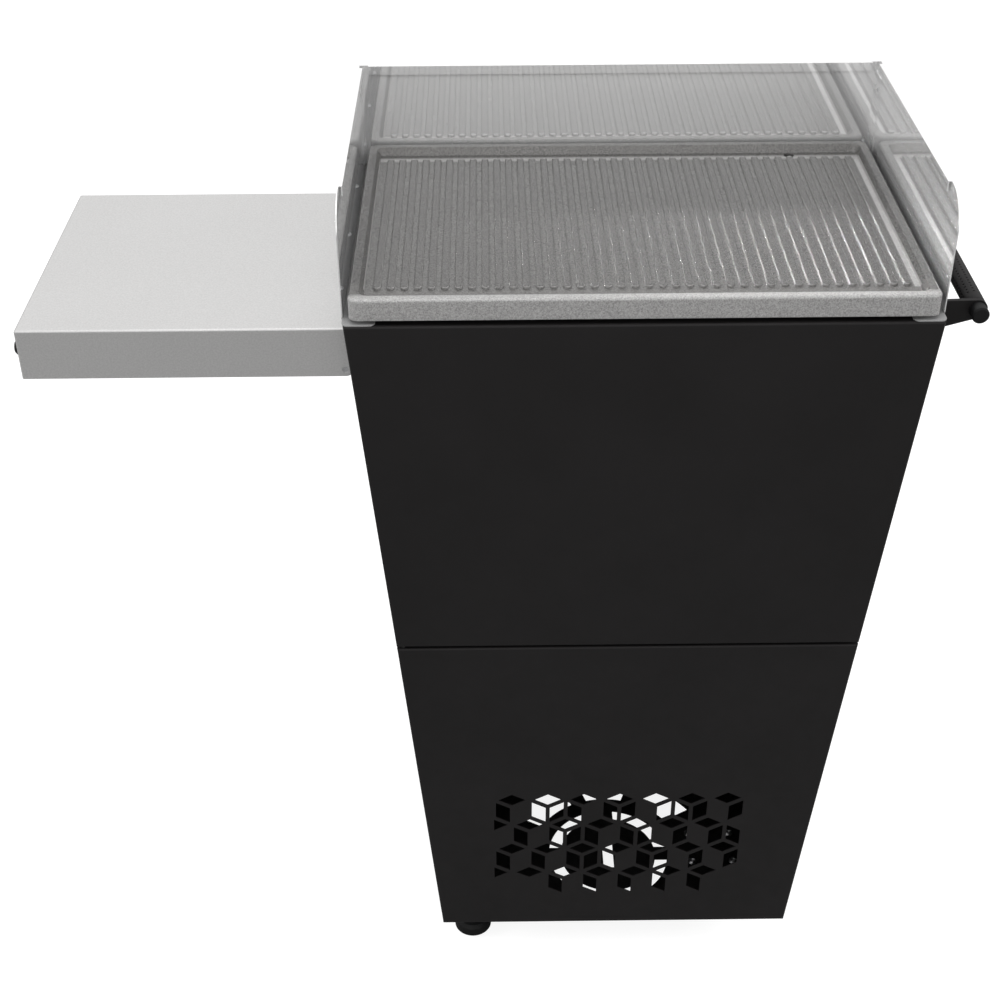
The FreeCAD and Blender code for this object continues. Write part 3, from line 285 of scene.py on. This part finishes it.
def cast_coating():
    """Grainy stone-grey coating of the cast plate, with light painted into it: the floor between the
    ribs and the rib side walls are paler as painted light, the back and right inner slopes are paler as
    a painted highlight, and the front is paler as its own uncoated cast and as painted light.
    """
    f = Finish("cast_coating")
    low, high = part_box("griddle_plate")
    rib_top = high.z - rib_top_below_rim
    rib_foot = rib_top - rib_rise
    rib_front = low.y + rib_front_in
    rib_back = high.y - rib_back_in
    grain = f.noise(620, 4, 0.75)
    tops = f.tones(grain, (0.044, 0.043, 0.042), (0.200, 0.196, 0.192))
    # Painted light: the floor between the ribs is paler than the rib tops, to lift the shade that falls
    # in it.
    grooves_painted_light = f.tones(grain, (0.059, 0.058, 0.056), (0.240, 0.236, 0.231))
    # Painted light: the rib side walls are far paler than the tops, as if a lamp fell on them.
    rib_sides_painted_light = f.tones(grain, (0.26, 0.255, 0.25), (0.42, 0.415, 0.41))
    channel = f.tones(grain, (0.076, 0.074, 0.072), (0.226, 0.221, 0.215))
    # Painted highlight: the back and right inner slopes of the rim are paler, standing in for the glint
    # of light on them.
    slope_painted_highlight = f.tones(grain, (0.30, 0.295, 0.29), (0.52, 0.515, 0.51))
    # Uncoated front: paler as the plate's own uncoated cast and as painted light on its front face.
    uncoated_and_lit_tone = f.tones(f.noise(700, 4, 0.75), (0.24, 0.236, 0.232), (0.54, 0.535, 0.53))
    # Rib tops over the painted-light floor between them.
    field = f.mixed(f.along("Z", rib_foot, rib_top), grooves_painted_light, tops)
    # Painted light on the rib side walls.
    on_flank = f.within("Z", rib_foot + flank_start, rib_foot + flank_end, flank_fade)
    field = f.mixed(on_flank, field, rib_sides_painted_light)
    on_ribs = f.within("Y", rib_front, rib_back, rib_rise)
    field = f.mixed(on_ribs, channel, field)
    # Painted highlight on the back inner slope.
    at_back = f.within("Y", rib_back, rib_back + rim_slope, rim_slope)
    inside_rim = f.within("X", low.x + rim_width, high.x - rim_width, rim_fade)
    field = f.mixed(f.both(at_back, inside_rim), field, slope_painted_highlight)
    # Painted highlight on the right inner slope.
    at_right = f.within("X", high.x - rim_width - rim_slope, high.x - rim_width, rim_fade)
    field = f.mixed(f.both(at_right, on_ribs), field, slope_painted_highlight)
    # Paler front: uncoated cast and painted light.
    behind_front = f.along("Y", low.y + uncoated_and_lit_front, low.y + uncoated_and_lit_front + uncoated_and_lit_fade)
    f.colour(f.mixed(behind_front, uncoated_and_lit_tone, field))
    f.rough(f.ramp(behind_front, 0.60, 0.26, 0, 1))
    f.bump(f.noise(950, 3, 0.65), 0.10, 0.0005, edge=0.0012)
    f.fixed(Metallic=0.5, Specular_IOR_Level=0.5)
    return f.material


def plated_steel():
    """Zinc-plated small parts, a little cloudy."""
    f = Finish("plated_steel")
    f.colour(f.tones(f.noise(120, 4, 0.6), (0.50, 0.50, 0.51), (0.66, 0.66, 0.67)))
    f.rough(f.ramp(f.noise(260, 3), 0.24, 0.38))
    f.bump(f.noise(900, 2), 0.04, 0.0002)
    f.fixed(Metallic=1.0)
    return f.material


def burner_steel():
    """Dull aluminised steel with warm stains from heat."""
    f = Finish("burner_steel")
    f.colour(f.tones(f.noise(14, 4, 0.6), (0.30, 0.27, 0.24), (0.44, 0.44, 0.44)))
    f.rough(f.ramp(f.noise(60, 3), 0.38, 0.55))
    f.bump(f.noise(700, 2), 0.06, 0.0003)
    f.fixed(Metallic=1.0)
    return f.material


def turned_brass():
    """Machined brass with fine turning marks."""
    f = Finish("turned_brass")
    f.colour(f.tones(f.noise(40, 3), (0.66, 0.46, 0.17), (0.78, 0.58, 0.27)))
    f.rough(f.ramp(f.noise(90, 2), 0.22, 0.34))
    f.bump(f.noise(300, 2, 0.5, f.stretched((8, 0.5, 0.5))), 0.05, 0.0002)
    f.fixed(Metallic=1.0)
    return f.material


def moulded_plastic():
    """Black moulded plastic with a fine spark-eroded grain."""
    f = Finish("moulded_plastic")
    f.colour(f.tones(f.noise(30, 2), (0.0050, 0.0050, 0.0052), (0.0070, 0.0070, 0.0073)))
    f.rough(f.ramp(f.noise(90, 2), 0.42, 0.54))
    f.bump(f.noise(1800, 2), 0.12, 0.0003)
    f.fixed(Specular_IOR_Level=0.18)
    return f.material


def black_rubber():
    """Black rubber of the wheels and bumpers, slightly dusty."""
    f = Finish("black_rubber")
    f.colour(f.tones(f.noise(60, 3), (0.007, 0.007, 0.007), (0.014, 0.014, 0.013)))
    f.rough(f.ramp(f.noise(140, 2), 0.68, 0.82))
    f.bump(f.noise(1300, 2), 0.10, 0.0003)
    f.fixed(Specular_IOR_Level=0.3)
    return f.material


def glazed_ceramic():
    """White glazed ceramic of the electrodes."""
    f = Finish("glazed_ceramic")
    f.colour(f.tones(f.noise(80, 3), (0.74, 0.72, 0.66), (0.82, 0.80, 0.75)))
    f.rough(f.ramp(f.noise(50, 2), 0.10, 0.18))
    f.bump(f.noise(500, 2), 0.03, 0.0002)
    f.fixed(Coat_Weight=0.3)
    return f.material


finishes = {
    "black_powder_coat": powder_coat(),
    "stainless_sheet": shield_steel(),
    "stone_grey_casting": cast_coating(),
    "plated_steel": plated_steel(),
    "burner_steel": burner_steel(),
    "brass": turned_brass(),
    "black_plastic": moulded_plastic(),
    "black_rubber": black_rubber(),
    "white_ceramic": glazed_ceramic(),
}
table_finish = table_steel()

for name, slot in slot_of.items():
    nodes[name].data.materials.clear()
    nodes[name].data.materials.append(finishes[slot])
nodes["side_table"].data.materials[0] = table_finish


# Ways of working on one piece


def only(piece):
    """Deselects all else and makes the piece the active one."""
    bpy.ops.object.select_all(action="DESELECT")
    piece.select_set(True)
    bpy.context.view_layer.objects.active = piece


def started(name):
    """The primitive that was just added, with its place put into its mesh."""
    piece = bpy.context.object
    piece.name = name
    bpy.ops.object.transform_apply(location=True, rotation=True, scale=True)
    return piece


def pick(piece, kind, wanted):
    """In edit mode, selects the faces or edges that wanted accepts."""
    bpy.ops.mesh.select_mode(type={"faces": "FACE", "edges": "EDGE"}[kind])
    bpy.ops.mesh.select_all(action="DESELECT")
    shape = bmesh.from_edit_mesh(piece.data)
    for part in getattr(shape, kind):
        part.select_set(bool(wanted(part)))
    bmesh.update_edit_mesh(piece.data)


def applied(piece, kind, **settings):
    """Adds a modifier to the piece and applies it."""
    only(piece)
    modifier = piece.modifiers.new(kind.lower(), kind)
    for key, value in settings.items():
        setattr(modifier, key, value)
    bpy.ops.object.modifier_apply(modifier=modifier.name)


def dressed(piece, body, slot, smooth_angle):
    """Gives a finished piece its finish, its shading and the body that it moves with."""
    only(piece)
    bpy.ops.object.shade_smooth_by_angle(angle=math.radians(smooth_angle))
    piece.data.materials.clear()
    piece.data.materials.append(finishes[slot])
    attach(piece, body)


# Handle


def perforated_grip():
    """Handle tube with rows of punched holes along it, each row one hole in two rings."""
    low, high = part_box("handle_tube")
    middle = (low + high) / 2
    length = high.y - low.y
    turn = math.tau / grip_sides
    # Smoothing draws a ring of corners in, so it starts that much wider.
    radius = (high.x - low.x) / 2 * 3 / (2 + math.cos(turn))
    bpy.ops.object.select_all(action="DESELECT")
    bpy.ops.mesh.primitive_cylinder_add(vertices=grip_sides, radius=radius, depth=length,
                                        end_fill_type="NOTHING", location=middle,
                                        rotation=(math.pi / 2, turn / 2, 0))
    grip = started("perforated_grip")
    bpy.ops.object.mode_set(mode="EDIT")
    pick(grip, "edges", lambda e: e.calc_length() > length / 2)
    rings = round(length / grip_ring)
    bpy.ops.mesh.subdivide(number_cuts=rings - 1)

    def is_hole(face):
        centre = face.calc_center_median()
        ring = int((centre.y - low.y) / length * rings)
        column = round(math.atan2(centre.x - middle.x, centre.z - middle.z) / turn)
        from_end = min(centre.y - low.y, high.y - centre.y)
        return ring % 2 and column % 2 == 0 and from_end > grip_plain_end

    pick(grip, "faces", is_hole)
    bpy.ops.mesh.inset(thickness=grip_hole_inset, use_individual=True)
    bpy.ops.mesh.delete(type="FACE")
    bpy.ops.object.mode_set(mode="OBJECT")
    applied(grip, "SOLIDIFY", thickness=grip_wall, offset=-1)
    applied(grip, "SUBSURF", levels=1, render_levels=1)
    dressed(grip, nodes["handle_tube"]["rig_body"], slot_of["handle_tube"], smooth_angle=60)
    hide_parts("handle_tube")


# Fasteners


def cross_cutter():
    """Tapered cross for a screwdriver, its open end just above the origin."""
    bpy.ops.object.select_all(action="DESELECT")
    bpy.ops.mesh.primitive_grid_add(x_subdivisions=3, y_subdivisions=3, size=cross_length,
                                    location=(0, 0, recess_rise))
    cutter = started("cross_cutter")
    corner = cross_length / 4
    bpy.ops.object.mode_set(mode="EDIT")
    pick(cutter, "faces", lambda f: min(abs(c) for c in f.calc_center_median()[:2]) > corner)
    bpy.ops.mesh.delete(type="FACE")
    bpy.ops.mesh.select_all(action="SELECT")
    down = (0, 0, -cross_depth - recess_rise)
    bpy.ops.mesh.extrude_region_move(TRANSFORM_OT_translate={"value": down})
    bpy.ops.transform.resize(value=(cross_taper, cross_taper, 1))
    bpy.ops.mesh.select_all(action="SELECT")
    bpy.ops.mesh.normals_make_consistent(inside=False)
    bpy.ops.object.mode_set(mode="OBJECT")
    return cutter


def socket_cutter():
    """Six-sided socket with a drilled point at its bottom, its open end just above the origin."""
    bpy.ops.object.select_all(action="DESELECT")
    bpy.ops.mesh.primitive_cylinder_add(vertices=6, radius=socket_radius,
                                        depth=socket_depth + recess_rise,
                                        location=(0, 0, (recess_rise - socket_depth) / 2))
    cutter = started("socket_cutter")
    bpy.ops.object.mode_set(mode="EDIT")
    pick(cutter, "faces", lambda f: f.normal.z < -0.5)
    bpy.ops.mesh.inset(thickness=socket_ledge)
    bpy.ops.mesh.extrude_region_move(TRANSFORM_OT_translate={"value": (0, 0, -socket_point)})
    bpy.ops.transform.resize(value=(socket_point_taper, socket_point_taper, 1))
    bpy.ops.object.mode_set(mode="OBJECT")
    return cutter


def merged_copy(node, name):
    """Copy of a CAD node's mesh with its loose triangles joined."""
    piece = bpy.data.objects.new(name, nodes[node].data.copy())
    bpy.context.scene.collection.objects.link(piece)
    only(piece)
    bpy.ops.object.mode_set(mode="EDIT")
    bpy.ops.mesh.select_all(action="SELECT")
    bpy.ops.mesh.remove_doubles(threshold=weld)
    bpy.ops.object.mode_set(mode="OBJECT")
    return piece


def solids_of(mesh):
    """The points of each closed solid in a merged mesh."""
    shape = bmesh.new()
    shape.from_mesh(mesh)
    left = set(shape.verts)
    solids = []
    while left:
        reached = [left.pop()]
        for corner in reached:
            near = {edge.other_vert(corner) for edge in corner.link_edges} & left
            reached.extend(near)
            left -= near
        solids.append(np.array([corner.co for corner in reached]))
    shape.free()
    return solids


def head_of(points, inner, inward):
    """Middle of a turned fastener's head and the way it faces, away from the inner point or inward."""
    middle = points.mean(0)
    spreads, ways = np.linalg.eigh(np.cov((points - middle).T))
    # Across a turned piece two spreads are alike, so the third is along it.
    along = 2 if spreads[1] - spreads[0] < spreads[2] - spreads[1] else 0
    way = ways[:, along]
    if (way @ (middle - inner) < 0) != inward:
        way = -way
    return Vector(middle + way * ((points - middle) @ way).max()), Vector(way)


def recessed_heads(node, cutter, inward=False):
    """The node's fasteners with the cutter's shape sunk into each head."""
    piece = merged_copy(node, node + "_recessed")
    low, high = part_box("bottom_plate")
    inner = np.array(((low.x + high.x) / 2, (low.y + high.y) / 2, 0))
    copies = []
    for points in solids_of(piece.data):
        place, way = head_of(points, inner, inward)
        turn = way.to_track_quat("Z", "Y").to_matrix().to_4x4()
        copy = bpy.data.objects.new("recess", cutter.data.copy())
        copy.data.transform(Matrix.Translation(place) @ turn)
        bpy.context.scene.collection.objects.link(copy)
        copies.append(copy)
    only(copies[0])
    for copy in copies:
        copy.select_set(True)
    bpy.ops.object.join()
    recesses = bpy.context.object
    applied(piece, "BOOLEAN", object=recesses, operation="DIFFERENCE", solver="EXACT")
    bpy.data.objects.remove(recesses)
    dressed(piece, nodes[node]["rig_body"], slot_of[node], smooth_angle=35)
    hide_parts(node)


# Knobs


def pointer_line(knob):
    """White line let into the end of a knob's grip, which points up at rest."""
    turning = next(j for j in frame["joints"] if j["name"] == knob + "_turn")
    out = Vector(turning["axis"])
    hub = Vector(turning["pos_m"])
    reach = max((corner.co - hub).dot(out) for corner in nodes[knob].data.vertices)
    up = (Vector((0, 0, 1)) - out * out.z).normalized()
    bpy.ops.object.select_all(action="DESELECT")
    bpy.ops.mesh.primitive_cube_add(size=1)
    line = bpy.context.object
    line.name = knob + "_pointer"
    size = Matrix.Diagonal((pointer_depth + pointer_proud, pointer_width, pointer_length, 1))
    axes = Matrix((out, up.cross(out), up)).transposed().to_4x4()
    place = hub + out * (reach + (pointer_proud - pointer_depth) / 2)
    place += up * (pointer_start + pointer_length / 2)
    line.matrix_world = Matrix.Translation(place) @ axes @ size
    bpy.ops.object.transform_apply(location=True, rotation=True, scale=True)
    applied(line, "BEVEL", width=pointer_edge, segments=2)
    dressed(line, knob, "white_ceramic", smooth_angle=40)


perforated_grip()
cross = cross_cutter()
socket = socket_cutter()
for node in ("rear_panel_screws", "shield_screws"):
    recessed_heads(node, cross)
recessed_heads("front_panel_screws", cross, inward=True)
for node in ("handle_bolts", "table_bracket_bolts", "caster_bolts"):
    recessed_heads(node, socket)
bpy.data.objects.remove(cross)
bpy.data.objects.remove(socket)
for knob in ("front_knob", "rear_knob"):
    pointer_line(knob)


# Floor and light


def white_to(tree, rays, bright, lit):
    """The bright shader for the named kinds of ray, and the lit one for all others."""
    path = tree.nodes.new("ShaderNodeLightPath")
    share = path.outputs[rays[0]]
    for ray in rays[1:]:
        either = tree.nodes.new("ShaderNodeMath")
        either.operation = "MAXIMUM"
        tree.links.new(share, either.inputs[0])
        tree.links.new(path.outputs[ray], either.inputs[1])
        share = either.outputs[0]
    mix = tree.nodes.new("ShaderNodeMixShader")
    tree.links.new(share, mix.inputs["Fac"])
    tree.links.new(lit, mix.inputs[1])
    tree.links.new(bright, mix.inputs[2])
    return mix.outputs[0]


def studio_world():
    """White studio to the camera, softer as a source of light, its walls greyer low down in mirrors."""
    world = bpy.data.worlds.new("studio")
    world.use_nodes = True
    tree = world.node_tree
    lit = tree.nodes["Background"]
    lit.inputs["Color"].default_value = (1, 1, 1, 1)
    lit.inputs["Strength"].default_value = world_light
    white = tree.nodes.new("ShaderNodeBackground")
    white.inputs["Color"].default_value = (1, 1, 1, 1)
    walls = tree.nodes.new("ShaderNodeBackground")
    walls.inputs["Color"].default_value = (1, 1, 1, 1)
    way = tree.nodes.new("ShaderNodeTexCoord")
    parts = tree.nodes.new("ShaderNodeSeparateXYZ")
    tree.links.new(way.outputs["Generated"], parts.inputs[0])
    rise = tree.nodes.new("ShaderNodeMapRange")
    rise.inputs["From Min"].default_value = wall_grey_until
    rise.inputs["From Max"].default_value = wall_white_from
    rise.inputs["To Min"].default_value = wall_grey
    rise.inputs["To Max"].default_value = 1.0
    tree.links.new(parts.outputs["Z"], rise.inputs["Value"])
    tree.links.new(rise.outputs["Result"], walls.inputs["Strength"])
    mirrored = white_to(tree, ("Is Glossy Ray",), walls.outputs[0], lit.outputs[0])
    surface = white_to(tree, ("Is Camera Ray", "Is Transmission Ray"), white.outputs[0], mirrored)
    tree.links.new(surface, tree.nodes["World Output"].inputs["Surface"])
    bpy.context.scene.world = world


def pale_floor():
    """White floor that still takes the soft shadow under the grill."""
    bpy.ops.object.select_all(action="DESELECT")
    bpy.ops.mesh.primitive_plane_add(size=floor_size, location=(0, 0, -floor_drop))
    floor = bpy.context.object
    floor.name = "floor"
    material = bpy.data.materials.new("floor_white")
    material.use_nodes = True
    tree = material.node_tree
    tree.nodes.remove(tree.nodes["Principled BSDF"])
    lit = tree.nodes.new("ShaderNodeBsdfDiffuse")
    lit.inputs["Color"].default_value = (*grey(floor_grey), 1)
    glow = tree.nodes.new("ShaderNodeEmission")
    glow.inputs["Color"].default_value = (1, 1, 1, 1)
    glow.inputs["Strength"].default_value = floor_glow
    veil = tree.nodes.new("ShaderNodeAddShader")
    tree.links.new(glow.outputs[0], veil.inputs[0])
    tree.links.new(lit.outputs[0], veil.inputs[1])
    rays = ("Is Camera Ray", "Is Transmission Ray")
    surface = white_to(tree, rays, veil.outputs[0], lit.outputs[0])
    tree.links.new(surface, tree.nodes["Material Output"].inputs["Surface"])
    floor.data.materials.append(material)


def softbox(name, place, aim, width, height, power, spread=180, mirrored=True):
    """Rectangular lamp; a spread below 180 degrees stands for a grid over it.

    One that is not mirrored lights the pieces without its shape showing in their shine.
    """
    lamp = bpy.data.lights.new(name, "AREA")
    lamp.shape = "RECTANGLE"
    lamp.size = width
    lamp.size_y = height
    lamp.energy = power
    lamp.spread = math.radians(spread)
    holder = bpy.data.objects.new(name, lamp)
    bpy.context.scene.collection.objects.link(holder)
    holder.visible_glossy = mirrored
    holder.location = place
    holder.rotation_euler = (Vector(aim) - Vector(place)).to_track_quat("-Z", "Y").to_euler()


def photo_camera():
    """Camera at the photograph's viewing angle."""
    pitch, yaw, roll = (math.radians(a) for a in (camera_pitch, camera_yaw, camera_roll))
    level_part = math.cos(pitch)
    ahead = Vector((math.sin(yaw) * level_part, math.cos(yaw) * level_part, -math.sin(pitch)))
    level = Vector((math.cos(yaw), -math.sin(yaw), 0))
    upright = level.cross(ahead)
    right = math.cos(roll) * level + math.sin(roll) * upright
    up = math.cos(roll) * upright - math.sin(roll) * level
    data = bpy.data.cameras.new("photo_camera")
    data.sensor_width = camera_sensor
    data.lens = camera_lens
    data.clip_start = camera_near
    holder = bpy.data.objects.new("photo_camera", data)
    bpy.context.scene.collection.objects.link(holder)
    turn = Matrix((right, up, -ahead)).transposed().to_4x4()
    holder.matrix_world = Matrix.Translation(camera_place) @ turn
    bpy.context.scene.camera = holder


studio_world()
pale_floor()
softbox("top_light", (0.0, -0.4, 3.0), (0, 0, 0.9), 2.0, 2.0, 5)
softbox("front_light", (0.0, -3.2, 1.9), (0, 0, 0.95), 2.4, 1.0, 3)
softbox("left_light", (-3.1, -0.3, 1.75), (0, 0, 0.95), 1.6, 1.0, 50, mirrored=False)
softbox("right_light", (3.1, -0.3, 1.75), (0, 0, 0.95), 1.6, 1.0, 48, mirrored=False)
softbox("rib_light", (-1.1, 2.35, 2.30), (0.31, -0.12, 0.96), 0.3, 0.3, 0.40, spread=9)
softbox("shield_light", (0.0, -0.40, 1.60), (0, 0.2, 1.0), 1.0, 0.3, 3.2, mirrored=False)
photo_camera()
bpy.context.scene.view_settings.view_transform = "Standard"
